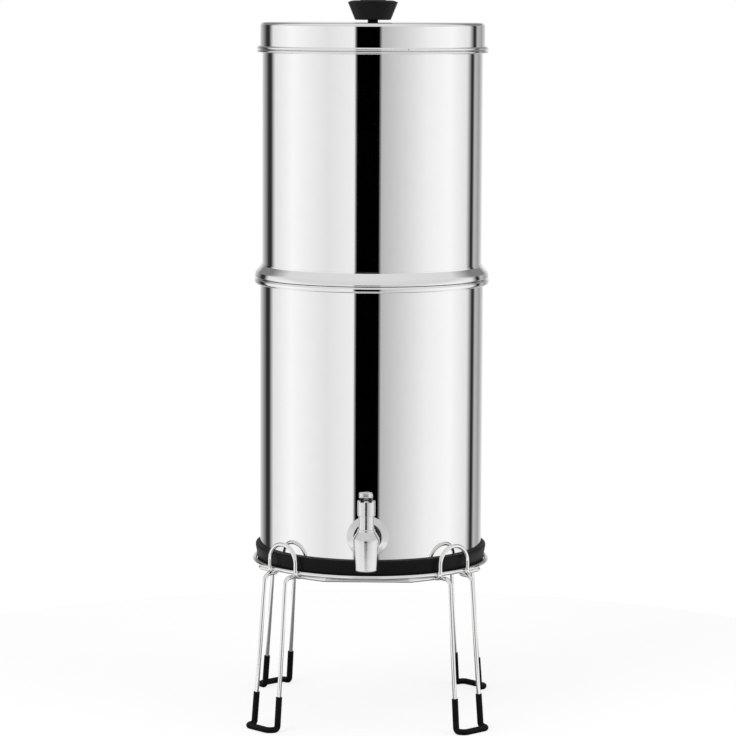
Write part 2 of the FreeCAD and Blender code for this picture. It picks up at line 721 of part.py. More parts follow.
def tap_bonnet():
    """Cap screwed over the neck, with two ears for the lever."""
    low = tap_z + NECK_TOP
    top = low + BONNET_HEIGHT
    place = Vector(0, spout_y, 0)
    neck_top = low + NECK_THREAD + 2 * FIT
    cap = turned([
        (0, low, 0), (BONNET_D / 2, low, 0.4), (BONNET_D / 2, top, BONNET_EDGE), (0, top, 0),
    ], place)
    centre = pivot()
    inner = BLADE / 2 + EAR_GAP
    for side in (-1, 1):
        start = centre + Vector(side * (inner + EAR) if side < 0 else inner, 0, 0)
        ear = cylinder(2 * EAR_R, EAR, start, Vector(1, 0, 0))
        foot = block(Vector(start.x, centre.y - EAR_R, top - 1), Vector(start.x + EAR, centre.y + EAR_R, centre.z))
        cap = cap.fuse(ear).fuse(foot)
    cap = cap.cut(cylinder(NECK_D + 2 * FIT, neck_top - low + 1, place + UP * (low - 1)))
    cap = cap.cut(cylinder(BONNET_BORE_D, BONNET_HEIGHT - BONNET_ROOF, place + UP * low))
    bore_height = 2 * BONNET_ROOF + PIVOT_RISE + 2 * EAR_R
    cap = cap.cut(cylinder(STEM_D + 2 * SLIDE_FIT, bore_height, place + UP * (top - 2 * BONNET_ROOF)))
    width = inner + EAR
    return cap.cut(cylinder(PIN_D + 2 * FIT, 2 * width + 2, centre - Vector(width + 1, 0, 0), Vector(1, 0, 0)))


def lever_pin():
    """Rivet through the ears and the lever."""
    centre = pivot()
    width = BLADE / 2 + EAR_GAP + EAR
    along = Vector(1, 0, 0)
    pin = cylinder(PIN_D, 2 * width, centre - along * width, along)
    for start in (-width - PIN_HEAD, width):
        pin = pin.fuse(cylinder(PIN_HEAD_D, PIN_HEAD, centre + along * start, along))
    return pin


def tap_stem():
    """Stem that lifts the cup: stud, spring flange, rod and an eye for the lever's finger."""
    seat = tap_z - SEAT_DROP + SEAT_TOUCH
    flange = seat + CUP
    centre = pivot()
    top = centre.z + STEM_ABOVE_EYE
    stem = turned([
        (0, flange - CUP_SOCKET + 0.2, 0), (CUP_STUD_D / 2, flange - CUP_SOCKET + 0.2, 0),
        (CUP_STUD_D / 2, flange, 0), (STEM_FLANGE_D / 2, flange, 0),
        (STEM_FLANGE_D / 2, flange + STEM_FLANGE, 0), (STEM_D / 2, flange + STEM_FLANGE, 0),
        (STEM_D / 2, top, 1.0), (0, top, 0),
    ], Vector(0, spout_y, 0))
    half = FINGER / 2 + EYE_SIDE
    tip = FINGER_R + EYE_PLAY
    eye = block(Vector(-half, spout_y - STEM_D, centre.z - tip), Vector(half, spout_y + STEM_D, centre.z + tip))
    drop = (STEM_D / 2 + 0.4) * math.tan(math.radians(LEVER_TRAVEL)) + FINGER_NECK / 2 + EYE_PLAY
    relief = block(Vector(-half, spout_y - STEM_D, centre.z - drop), Vector(half, spout_y - FINGER_R * 0.5, centre.z))
    lift = PIVOT_ARM * math.radians(LEVER_TRAVEL)
    flat_y = spout_y - (PIVOT_ARM - BLADE_R - STEM_FLAT_GAP)
    flat = block(Vector(-STEM_D, spout_y - STEM_D, centre.z - BLADE_R - STEM_FLAT_GAP - lift),
                 Vector(STEM_D, flat_y, top + 1))
    return stem.cut(eye).cut(relief).cut(flat)


def tap_seat_cup():
    """Soft plug that shuts the outlet."""
    seat = tap_z - SEAT_DROP + SEAT_TOUCH
    return turned([
        (0, seat, 0), (CUP_D / 2, seat, 0.6), (CUP_D / 2, seat + CUP, 0.6), (CUP_STUD_D / 2 + FIT, seat + CUP, 0),
        (CUP_STUD_D / 2 + FIT, seat + CUP - CUP_SOCKET, 0), (0, seat + CUP - CUP_SOCKET, 0),
    ], Vector(0, spout_y, 0))


def spring_ends():
    """Lowest and highest z of the spring."""
    low = tap_z - SEAT_DROP + SEAT_TOUCH + CUP + STEM_FLANGE
    high = tap_z + NECK_TOP + BONNET_HEIGHT - BONNET_ROOF
    return low + SPRING_GAP, high - SPRING_GAP


def arc_between(start, apex, end):
    """Arc that is tangent to the two equal legs start-apex and apex-end."""
    chord_middle = (start + end) * 0.5
    rise = apex - chord_middle
    half_chord = start.distanceToPoint(chord_middle)
    half_turn = math.atan2(rise.Length, half_chord)
    middle = chord_middle + rise.normalize() * (half_chord * math.tan(half_turn / 2))
    return Part.Arc(start, middle, end).toShape()


def tap_spring():
    """Coil spring round the stem, on pairs of tangent arcs for each quarter turn."""
    low, high = spring_ends()
    radius = SPRING_MEAN_D / 2
    rise = (high - low - SPRING_WIRE) / (2 * math.pi * SPRING_TURNS)

    def on_helix(angle):
        spot = Vector(radius * math.cos(angle), spout_y + radius * math.sin(angle), low + SPRING_WIRE / 2 + rise * angle)
        way = Vector(-radius * math.sin(angle), radius * math.cos(angle), rise)
        return spot, way.normalize()

    edges = []
    for quarter in range(4 * SPRING_TURNS):
        start, way_in = on_helix(quarter * math.pi / 2)
        end, way_out = on_helix((quarter + 1) * math.pi / 2)
        step = end - start
        along = step.dot(way_in + way_out)
        spread = 2 * (1 - way_in.dot(way_out))
        leg_length = (math.sqrt(along ** 2 + spread * step.dot(step)) - along) / spread
        first = start + way_in * leg_length
        second = end - way_out * leg_length
        joint = (first + second) * 0.5
        edges.append(arc_between(start, first, joint))
        edges.append(arc_between(joint, second, end))
    print(f"spring: gap between turns {2 * math.pi * rise - SPRING_WIRE:.2f}")
    return tube(edges, SPRING_WIRE)


def tap_lever():
    """Lever: blade between the ears, finger in the stem's eye, arm and thumb paddle."""
    centre = pivot()
    across = Vector(1, 0, 0)
    back = Vector(0, 1, 0)
    hub = cylinder(2 * BLADE_R, BLADE, centre - across * (BLADE / 2), across)
    tip = cylinder(2 * FINGER_R, FINGER, centre + back * PIVOT_ARM - across * (FINGER / 2), across)
    neck = block(Vector(-FINGER / 2, centre.y, centre.z - FINGER_NECK / 2),
                 Vector(FINGER / 2, centre.y + PIVOT_ARM, centre.z + FINGER_NECK / 2))
    arm = block(Vector(-BLADE / 2, -LEVER_LENGTH + PADDLE_LENGTH / 2, -BLADE_R * 0.62),
                Vector(BLADE / 2, 0, BLADE_R))
    paddle = block(Vector(-PADDLE_WIDTH / 2, -LEVER_LENGTH, -PADDLE_THICK / 2),
                   Vector(PADDLE_WIDTH / 2, -LEVER_LENGTH + PADDLE_LENGTH, PADDLE_THICK / 2))
    upright = [edge for edge in paddle.Edges if abs(edge.tangentAt(edge.FirstParameter).z) > 0.9]
    paddle = paddle.makeFillet(PADDLE_WIDTH * 0.38, upright)
    paddle = paddle.makeFillet(PADDLE_EDGE, paddle.Edges)
    paddle.translate(Vector(0, 0, BLADE_R - PADDLE_THICK / 2))
    handle = arm.fuse(paddle)
    handle.rotate(Vector(0, 0, 0), across, -LEVER_RISE)
    handle.translate(centre)
    lever = hub.fuse(tip).fuse(neck).fuse(handle).removeSplitter()
    return lever.cut(cylinder(PIN_D + 2 * FIT, 2 * BLADE, centre - across * BLADE, across))


def make_lid():
    """Lid, its locating ring and its knob."""
    save("lid_shell", lid_shell())
    save("lid_locating_ring", lid_locating_ring())
    save("lid_knob", knob())
    save("lid_knob_screw", knob_screw())
    under_lid = Vector(0, 0, lid_top - SHEET - WASHER)
    save("lid_knob_washer", washer(KNOB_WASHER_D, SCREW_D + 4 * FIT, WASHER, under_lid))


def make_upper_tank():
    """Upper tank, its collar, two filter elements and two blanked holes."""
    save("upper_chamber", upper_chamber())
    save("upper_collar", upper_collar())
    places = hole_places()
    for side, place in zip(("left", "right"), places[:2]):
        for piece, shape in filter_parts(place).items():
            save(f"filter_{piece}_{side}", shape)
    plugs = [blanking_plug(place) for place in places[2:]]
    for index, name in enumerate(("blanking_plugs", "blanking_plug_washers", "blanking_plug_nuts")):
        save(name, Part.makeCompound([plug[index] for plug in plugs]))


def make_lower_tank():
    """Lower tank, its rubber ring and the tap."""
    save("lower_chamber", lower_chamber())
    save("base_ring", base_ring())
    outside, inside = tap_gaskets()
    save("tap_body", tap_body())
    save("tap_flange", tap_flange())
    save("tap_gasket_outer", outside)
    save("tap_gasket_inner", inside)
    save("tap_nut", tap_nut())
    save("tap_bonnet", tap_bonnet())
    save("tap_stem", tap_stem())
    save("tap_seat_cup", tap_seat_cup())
    save("tap_spring", tap_spring())
    save("tap_lever", tap_lever())
    save("tap_lever_pin", lever_pin())


def make_stand():
    """Wire stand: ring, four legs with sleeves and four arches."""
    ring = Part.makeTorus(ring_r, RING_WIRE / 2, Vector(0, 0, RING_HEIGHT))
    save("stand_ring", ring)
    corners = {"rear_right": 0, "rear_left": 90, "front_left": 180, "front_right": 270}
    pieces = {"stand_leg": leg(), "stand_arch": arch(), "foot_sleeve": sleeve()}
    for piece, shape in pieces.items():
        for corner, turn in corners.items():
            save(f"{piece}_{corner}", around(shape, turn))


os.makedirs("parts", exist_ok=True)
make_lid()
make_upper_tank()
make_lower_tank()
make_stand()
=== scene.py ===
"""Looks of the two-tank gravity water filter in its wire stand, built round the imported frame.

Lengths are in metres. The tanks' axis is the Z axis, the floor is z = 0 and the tap faces -Y.
"""

import json
import logging
import math
from dataclasses import dataclass, field
from enum import Enum

import bmesh
import bpy
from mathutils import Matrix, Vector

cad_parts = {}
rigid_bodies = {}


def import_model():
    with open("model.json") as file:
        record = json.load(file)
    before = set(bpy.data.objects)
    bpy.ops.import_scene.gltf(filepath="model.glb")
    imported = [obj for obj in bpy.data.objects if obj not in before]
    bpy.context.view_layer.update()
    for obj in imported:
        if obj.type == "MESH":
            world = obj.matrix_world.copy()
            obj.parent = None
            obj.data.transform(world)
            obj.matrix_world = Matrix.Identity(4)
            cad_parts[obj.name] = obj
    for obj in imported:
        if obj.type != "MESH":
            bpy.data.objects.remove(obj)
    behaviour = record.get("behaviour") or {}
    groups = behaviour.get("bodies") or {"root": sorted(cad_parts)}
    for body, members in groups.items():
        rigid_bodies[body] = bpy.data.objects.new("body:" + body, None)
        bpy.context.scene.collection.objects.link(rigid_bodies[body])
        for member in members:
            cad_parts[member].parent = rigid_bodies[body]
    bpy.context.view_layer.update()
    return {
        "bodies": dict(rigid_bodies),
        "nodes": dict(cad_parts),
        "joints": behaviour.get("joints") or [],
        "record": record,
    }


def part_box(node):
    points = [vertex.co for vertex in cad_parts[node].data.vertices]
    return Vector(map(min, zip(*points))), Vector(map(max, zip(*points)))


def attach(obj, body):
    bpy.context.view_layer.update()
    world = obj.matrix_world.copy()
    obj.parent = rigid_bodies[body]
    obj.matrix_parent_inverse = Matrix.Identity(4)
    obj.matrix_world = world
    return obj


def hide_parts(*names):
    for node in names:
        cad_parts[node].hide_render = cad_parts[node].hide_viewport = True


LOG = logging.getLogger("water_filter")
MM = 0.001
SEGMENTS = 240

Point = tuple[float, float]
Point3 = tuple[float, float, float]
Bend = tuple[float, float, float]
Rgb = tuple[float, float, float]


class Slot(Enum):
    """Material slots of the record."""

    STEEL = "polished_steel"
    WIRE = "wire_steel"
    TAP = "tap_steel"
    HARDWARE = "hardware_steel"
    RUBBER = "black_rubber"
    SEAL = "seal_rubber"
    SILICONE = "silicone"
    KNOB = "knob_plastic"
    CARBON = "carbon_block"
    PLASTIC = "filter_plastic"


# Shapes

def rounded(corners: list[Bend], step: float = math.radians(9)) -> list[Point]:
    """Line through (r, z, bend radius) corners, with each bend as an arc.

    Args:
        corners: points of the line in millimetres, each with the radius of its bend.
        step: largest turn between two points of an arc.

    Returns:
        Points (r, z) in metres.
    """
    points: list[Point] = []
    last = len(corners) - 1
    for index, (r, z, radius) in enumerate(corners):
        here = Vector((r, z))
        if index in (0, last) or radius == 0:
            points.append((r * MM, z * MM))
            continue
        to_before = (Vector(corners[index - 1][:2]) - here).normalized()
        to_after = (Vector(corners[index + 1][:2]) - here).normalized()
        half = to_before.angle(to_after) / 2
        centre = here + (to_before + to_after).normalized() * (radius / math.sin(half))
        start = here + to_before * (radius / math.tan(half)) - centre
        end = here + to_after * (radius / math.tan(half)) - centre
        turn = start.angle_signed(end)
        pieces = max(2, math.ceil(abs(turn) / step))
        for part in range(pieces + 1):
            spot = start.copy()
            spot.rotate(Matrix.Rotation(-turn * part / pieces, 2))
            points.append(((centre.x + spot.x) * MM, (centre.y + spot.y) * MM))
    return points


def thickened(line: list[Point], thickness: float) -> list[Point]:
    """Closed outline of sheet metal about its middle line.

    Args:
        line: points (r, z) of the middle line.
        thickness: thickness of the sheet, in metres.

    Returns:
        Points of the outline, out along one side and back along the other.
    """
    spots = [Vector(point) for point in line]
    sides: list[list[Point]] = [[], []]
    for index, spot in enumerate(spots):
        before = spots[max(index - 1, 0)]
        after = spots[min(index + 1, len(spots) - 1)]
        along = (after - before).normalized()
        left = Vector((-along.y, along.x))
        for side, sign in zip(sides, (0.5, -0.5)):
            moved = spot + left * thickness * sign
            side.append((max(moved.x, 0.0), moved.y))
    return sides[0] + sides[1][::-1]


def lathe(name: str, outline: list[Point], segments: int = SEGMENTS) -> bpy.types.Object:
    """Turn a closed outline round the Z axis.

    Args:
        name: name of the new object.
        outline: points (r, z) in order round the section.
        segments: number of steps round the axis.

    Returns:
        The new object, with smooth faces and sharp corners.
    """
    verts = []
    for step in range(segments):
        angle = 2 * math.pi * step / segments
        verts += [(r * math.sin(angle), -r * math.cos(angle), z) for r, z in outline]
    count = len(outline)
    faces = []
    for step in range(segments):
        here, there = step * count, (step + 1) % segments * count
        for index in range(count):
            after = (index + 1) % count
            faces.append((here + index, there + index, there + after, here + after))
    mesh = bpy.data.meshes.new(name)
    mesh.from_pydata(verts, [], faces)
    return finished_mesh(name, mesh)


def finished_mesh(name: str, mesh: bpy.types.Mesh, sharp: float = 40.0) -> bpy.types.Object:
    """Clean a mesh, turn its faces outward, shade it smooth and put it in an object.

    Args:
        name: name of the new object.
        mesh: the mesh to clean.
        sharp: angle in degrees from which an edge stays sharp.

    Returns:
        The new object.
    """
    work = bmesh.new()
    work.from_mesh(mesh)
    bmesh.ops.remove_doubles(work, verts=work.verts, dist=1e-6)
    bmesh.ops.dissolve_degenerate(work, edges=work.edges, dist=1e-7)
    bmesh.ops.recalc_face_normals(work, faces=work.faces)
    work.to_mesh(mesh)
    work.free()
    mesh.shade_smooth()
    mesh.set_sharp_from_angle(angle=math.radians(sharp))
    piece = bpy.data.objects.new(name, mesh)
    bpy.context.scene.collection.objects.link(piece)
    return piece


def carved(piece: bpy.types.Object) -> bpy.types.Object:
    """Cut the active object out of a piece and delete it.

    Args:
        piece: the piece to cut.

    Returns:
        The same piece, cut.
    """
    cutter = bpy.context.object
    bpy.context.view_layer.update()
    cut = piece.modifiers.new("cut", "BOOLEAN")
    cut.operation = "DIFFERENCE"
    cut.solver = "EXACT"
    cut.object = cutter
    shaped = bpy.data.meshes.new_from_object(piece.evaluated_get(bpy.context.evaluated_depsgraph_get()))
    piece.modifiers.clear()
    piece.data = shaped
    bpy.data.objects.remove(cutter)
    piece.data.set_sharp_from_angle(angle=math.radians(40))
    return piece


def bored(piece: bpy.types.Object, holes: list[tuple[Vector, Vector, float]]) -> bpy.types.Object:
    """Cut round holes through a piece.

    Args:
        piece: the piece to cut.
        holes: centre, axis and radius of each hole, in metres.

    Returns:
        The same piece, cut.
    """
    for centre, axis, radius in holes:
        bpy.ops.mesh.primitive_cylinder_add(vertices=48, radius=radius, depth=0.03, location=centre,
                                            rotation=axis.to_track_quat("Z", "Y").to_euler())
        carved(piece)
    return piece


# Finishes

class Nodes:
    """Short way to add nodes and links to one material or world."""

    def __init__(self, tree: bpy.types.NodeTree) -> None:
        """Keep the tree.

        Args:
            tree: the node tree to fill.
        """
        self.tree = tree

    def add(self, kind: str, **values: object) -> bpy.types.Node:
        """Add a node and set its properties or sockets.

        Args:
            kind: Blender's node type, without the ShaderNode prefix.
            **values: properties by name, or sockets by name with _ for a space.

        Returns:
            The new node.
        """
        node = self.tree.nodes.new("ShaderNode" + kind)
        for name, value in values.items():
            if hasattr(node, name):
                setattr(node, name, value)
            else:
                node.inputs[name.replace("_", " ")].default_value = value
        return node

    def link(self, source: bpy.types.NodeSocket, target: bpy.types.NodeSocket) -> None:
        """Join two sockets."""
        self.tree.links.new(source, target)

    def noise(self, scale: float, detail: float = 3.0, stretch: Point3 = (1, 1, 1)) -> bpy.types.NodeSocket:
        """Noise in the object's own coordinates.

        Args:
            scale: grains per metre.
            detail: octaves.
            stretch: factors along X, Y and Z.

        Returns:
            The noise's factor socket.
        """
        place = self.add("TexCoord")
        mapping = self.add("Mapping")
        mapping.inputs["Scale"].default_value = stretch
        grain = self.add("TexNoise", Scale=scale, Detail=detail)
        self.link(place.outputs["Object"], mapping.inputs["Vector"])
        self.link(mapping.outputs["Vector"], grain.inputs["Vector"])
        return grain.outputs["Fac"]

    def between(self, factor: bpy.types.NodeSocket, low: float, high: float) -> bpy.types.NodeSocket:
        """Spread a factor between two values.

        Args:
            factor: socket from about 0.3 to 0.7.
            low: value at the low end.
            high: value at the high end.

        Returns:
            The spread value's socket.
        """
        spread = self.add("MapRange", clamp=True)
        for socket, value in zip(spread.inputs[1:5], (0.3, 0.7, low, high)):
            socket.default_value = value
        self.link(factor, spread.inputs["Value"])
        return spread.outputs["Result"]

    def colours(self, factor: bpy.types.NodeSocket, low: Rgb, high: Rgb) -> bpy.types.NodeSocket:
        """Blend two colours by a factor.

        Args:
            factor: the factor's socket.
            low: colour at 0.
            high: colour at 1.

        Returns:
            The colour's socket.
        """
        mix = self.add("Mix", data_type="RGBA")
        mix.inputs[6].default_value = (*low, 1)
        mix.inputs[7].default_value = (*high, 1)
        self.link(factor, mix.inputs[0])
        return mix.outputs[2]

    def bumps(self, heights: list[tuple[bpy.types.NodeSocket, float]]) -> bpy.types.NodeSocket:
        """Stack bumps.

        Args:
            heights: height sockets, each with its depth in metres.

        Returns:
            The normal's socket.
        """
        normal = None
        for height, depth in heights:
            bump = self.add("Bump", Strength=1.0, Distance=depth)
            self.link(height, bump.inputs["Height"])
            if normal is not None:
                self.link(normal, bump.inputs["Normal"])
            normal = bump.outputs["Normal"]
        return normal


@dataclass(frozen=True)
class Metal:
    """Polished or plain metal, with faint spun lines, handling marks and a slow waviness."""

    name: str
    colour: Rgb
    smooth: float
    worn: float
    line_depth: float = 0.0
    wave_depth: float = 0.0
    grain_scale: float = 60.0
    line_stretch: Point3 = (1, 1, 90)

    def material(self) -> bpy.types.Material:
        """Build the material."""
        made = bpy.data.materials.new(self.name)
        made.use_nodes = True
        nodes = Nodes(made.node_tree)
        shader = made.node_tree.nodes["Principled BSDF"]
        shader.inputs["Metallic"].default_value = 1.0
        marks = nodes.noise(self.grain_scale, 5.0)
        darker = tuple(channel * 0.965 for channel in self.colour)
        nodes.link(nodes.colours(marks, darker, self.colour), shader.inputs["Base Color"])
        nodes.link(nodes.between(marks, self.smooth, self.worn), shader.inputs["Roughness"])
        lines = nodes.noise(40.0, 2.0, self.line_stretch)
        waves = nodes.noise(9.0, 1.0)
        heights = [(waves, self.wave_depth), (lines, self.line_depth)]
        nodes.link(nodes.bumps([pair for pair in heights if pair[1]]), shader.inputs["Normal"])
        return made


@dataclass(frozen=True)
class Moulded:
    """Rubber, silicone or plastic with a fine grain and a slight mottle."""

    name: str
    dark: Rgb
    light: Rgb
    smooth: float
    rough: float
    grain_depth: float
    grain_scale: float = 1500.0
    shine: float = 0.5
    see_through: float = 0.0

    def material(self) -> bpy.types.Material:
        """Build the material."""
        made = bpy.data.materials.new(self.name)
        made.use_nodes = True
        nodes = Nodes(made.node_tree)
        shader = made.node_tree.nodes["Principled BSDF"]
        shader.inputs["Specular IOR Level"].default_value = self.shine
        shader.inputs["Transmission Weight"].default_value = self.see_through
        mottle = nodes.noise(70.0, 4.0)
        nodes.link(nodes.colours(mottle, self.dark, self.light), shader.inputs["Base Color"])
        nodes.link(nodes.between(mottle, self.smooth, self.rough), shader.inputs["Roughness"])
        grain = nodes.noise(self.grain_scale, 3.0)
        nodes.link(nodes.bumps([(grain, self.grain_depth)]), shader.inputs["Normal"])
        return made


@dataclass(frozen=True)
class Finishes:
    """Every finish of the filter, by the record's slot name."""

    polished_steel: Metal = Metal("mirror_steel", (0.95, 0.95, 0.95), 0.018, 0.04, 4e-7, 3e-5)
    wire_steel: Metal = Metal("bright_wire", (0.92, 0.92, 0.915), 0.05, 0.11, 2e-6, 0.0, 300.0, (1, 1, 1))
    tap_steel: Metal = Metal("cast_steel", (0.80, 0.80, 0.80), 0.12, 0.22, 5e-6, 1.2e-4, 250.0, (1, 1, 1))
    hardware_steel: Metal = Metal("plain_steel", (0.70, 0.70, 0.69), 0.2, 0.34, 4e-6, 0.0, 400.0, (1, 1, 1))
    black_rubber: Moulded = Moulded("black_rubber", (0.002, 0.002, 0.002), (0.005, 0.005, 0.005), 0.42, 0.55, 1.2e-5,
                                    1500.0, 0.16)
    seal_rubber: Moulded = Moulded("seal_rubber", (0.012, 0.012, 0.012), (0.025, 0.025, 0.025), 0.5, 0.65, 2e-5)
    silicone: Moulded = Moulded("silicone", (0.72, 0.72, 0.70), (0.82, 0.82, 0.80), 0.4, 0.5, 1e-5, 900.0, 0.5, 0.3)
    knob_plastic: Moulded = Moulded("knob_plastic", (0.002, 0.002, 0.002), (0.004, 0.004, 0.004), 0.16, 0.26, 8e-6,
                                    2200.0, 0.2)
    carbon_block: Moulded = Moulded("carbon_block", (0.006, 0.006, 0.006), (0.05, 0.05, 0.05), 0.8, 0.95, 2.5e-4,
                                    900.0)
    filter_plastic: Moulded = Moulded("filter_plastic", (0.02, 0.02, 0.022), (0.035, 0.035, 0.037), 0.38, 0.5, 1.5e-5)

    def materials(self) -> dict[Slot, bpy.types.Material]:
        """Build all of them."""
        return {slot: getattr(self, slot.value).material() for slot in Slot}


# The studio

@dataclass(frozen=True)
class Card:
    """Dark card that polished steel mirrors. Degrees from the front."""

    middle: float
    half_width: float
    soft: float

    @property
    def start(self) -> float:
        """Azimuth where its full dark begins."""
        return self.middle - self.half_width

    @property
    def end(self) -> float:
        """Azimuth where its full dark ends."""
        return self.middle + self.half_width


@dataclass
class Studio:
    """White walls with dark cards, pale floor, soft lamps and the camera."""

    camera_distance: float = 3.032
    camera_height: float = 0.692
    camera_azimuth: float = 1.5
    camera_pitch: float = 6.68
    camera_yaw: float = 0.061
    camera_roll: float = 0.25
    focal_pixels: float = 3136.0
    frame_pixels: float = 736.0
    sensor: float = 36.0
    floor_radius: float = 0.62
    floor_glow: float = 0.75
    # Radii between which the shade under the filter ends, as the steel sees it
    shaded_floor: Point = (0.24, 0.42)
    # Dark cards round the filter, from rear left to rear right
    left_card: Card = Card(-134.0, 4.0, 9.0)
    front_card: Card = Card(-3.0, 12.0, 2.0)
    right_card: Card = Card(130.0, 2.0, 5.0)
    card_grey: float = 0.03
    front_grey: float = 0.0
    # Brightness of the soft walls between the cards
    rear_wall: float = 0.35
    soft_wall: float = 0.8
    left_wall: float = 0.9
    near_right_wall: float = 0.5
    bright_wall: float = 1.0
    # Azimuths where the side walls are brightest, and between which the rear walls darken
    brightest: float = 90.0
    rear_end: float = 150.0
    back: float = 170.0

    # Height of the mirrored ray from -1 to 1, brightness and share of it against the strips
    heights: list[Point3] = field(default_factory=lambda: [
        (-0.6, 0.4, 1.0), (-0.42, 0.6, 0.0), (0.13, 0.60, 0.0), (0.24, 0.70, 1.0), (0.9, 0.74, 1.0)])
    # Brightness of the upper half behind the filter, and where it begins and is full
    behind: Point3 = (0.22, 0.35, 0.65)

    def build(self) -> None:
        """Make the surround, the floor, the lamps and the camera."""
        self.make_world()
        self.make_floor()
        self.make_lamps()
        self.make_camera()

    def bands(self) -> list[Point]:
        """Work out what polished steel mirrors all round the filter.

        Returns:
            azimuth from the front in degrees, and brightness, from rear left to rear right.
        """
        left, front, right = self.left_card, self.front_card, self.right_card
        return [
            (-self.back, self.soft_wall), (-self.rear_end, self.rear_wall), (left.start, self.card_grey),
            (left.end, self.card_grey), (left.end + left.soft, self.soft_wall), (-self.brightest, self.bright_wall),
            (-self.brightest / 2, self.soft_wall), (front.start - front.soft, self.left_wall),
            (front.start, self.front_grey), (front.end, self.front_grey),
            (front.end + front.soft, self.near_right_wall), (self.brightest * 2 / 3, self.left_wall),
            (self.brightest, self.bright_wall), (right.start - 2 * right.soft, self.soft_wall),
            (right.start, self.card_grey), (right.end, self.card_grey), (right.end + right.soft, self.near_right_wall),
            (self.rear_end, self.rear_wall), (self.back, self.soft_wall)]

    def make_world(self) -> None:
        """White for the eye, soft light for dull surfaces, strips for mirrors."""
        world = bpy.data.worlds.new("studio_surround")
        bpy.context.scene.world = world
        world.use_nodes = True
        tree = world.node_tree
        tree.nodes.clear()
        nodes = Nodes(tree)
        place = nodes.add("TexCoord")
        split = nodes.add("SeparateXYZ")
        nodes.link(place.outputs["Generated"], split.inputs[0])
        front = nodes.add("Math", operation="MULTIPLY")
        front.inputs[1].default_value = -1
        nodes.link(split.outputs["Y"], front.inputs[0])
        azimuth = nodes.add("Math", operation="ARCTAN2")
        nodes.link(split.outputs["X"], azimuth.inputs[0])
        nodes.link(front.outputs[0], azimuth.inputs[1])
        share = nodes.add("MapRange")
        for socket, value in zip(share.inputs[1:5], (-math.pi, math.pi, 0, 1)):
            socket.default_value = value
        nodes.link(azimuth.outputs[0], share.inputs["Value"])
        ramp = nodes.add("ValToRGB")
        stops = ramp.color_ramp.elements
        for index, (degrees, grey) in enumerate(self.bands()):
            where = (degrees + 180) / 360
            stop = stops[index] if index in (0, 1) else stops.new(where)
            stop.position = where
            stop.color = (grey, grey, grey, 1)
        nodes.link(share.outputs[0], ramp.inputs[0])
        level = nodes.add("MapRange")
        for socket, value in zip(level.inputs[1:5], (-1, 1, 0, 1)):
            socket.default_value = value
        nodes.link(split.outputs["Z"], level.inputs["Value"])
        above = nodes.add("ValToRGB")
        stops = above.color_ramp.elements
        for index, (height, grey, share_here) in enumerate(self.heights):
            stop = stops[index] if index in (0, 1) else stops.new((height + 1) / 2)
            stop.position = (height + 1) / 2
            stop.color = (grey, grey, grey, share_here)
        nodes.link(level.outputs["Result"], above.inputs[0])
        mirrored = nodes.add("Mix", data_type="RGBA")
        rear = nodes.add("MapRange")
        for socket, value in zip(rear.inputs[1:5], (*self.behind[1:], 0, 1)):
            socket.default_value = value
        nodes.link(split.outputs["Y"], rear.inputs["Value"])
        upper = nodes.add("Mix", data_type="RGBA")
        upper.inputs[7].default_value = (self.behind[0], self.behind[0], self.behind[0], 1)
        nodes.link(rear.outputs["Result"], upper.inputs[0])
        nodes.link(above.outputs["Color"], upper.inputs[6])
        nodes.link(above.outputs["Alpha"], mirrored.inputs[0])
        nodes.link(ramp.outputs[0], mirrored.inputs[6])
        nodes.link(upper.outputs[2], mirrored.inputs[7])
        path = nodes.add("LightPath")
        strips = nodes.add("Background")
        nodes.link(mirrored.outputs[2], strips.inputs["Color"])
        soft = nodes.add("Background", Color=(1, 1, 1, 1), Strength=0.62)
        white = nodes.add("Background", Color=(1, 1, 1, 1), Strength=1.0)
        glossy = nodes.add("MixShader")
        nodes.link(path.outputs["Is Glossy Ray"], glossy.inputs[0])
        nodes.link(soft.outputs[0], glossy.inputs[1])
        nodes.link(strips.outputs[0], glossy.inputs[2])
        seen = nodes.add("Math", operation="MAXIMUM")
        nodes.link(path.outputs["Is Camera Ray"], seen.inputs[0])
        nodes.link(path.outputs["Is Transmission Ray"], seen.inputs[1])
        final = nodes.add("MixShader")
        nodes.link(seen.outputs[0], final.inputs[0])
        nodes.link(glossy.outputs[0], final.inputs[1])
        nodes.link(white.outputs[0], final.inputs[2])
        nodes.link(final.outputs[0], nodes.add("OutputWorld").inputs[0])

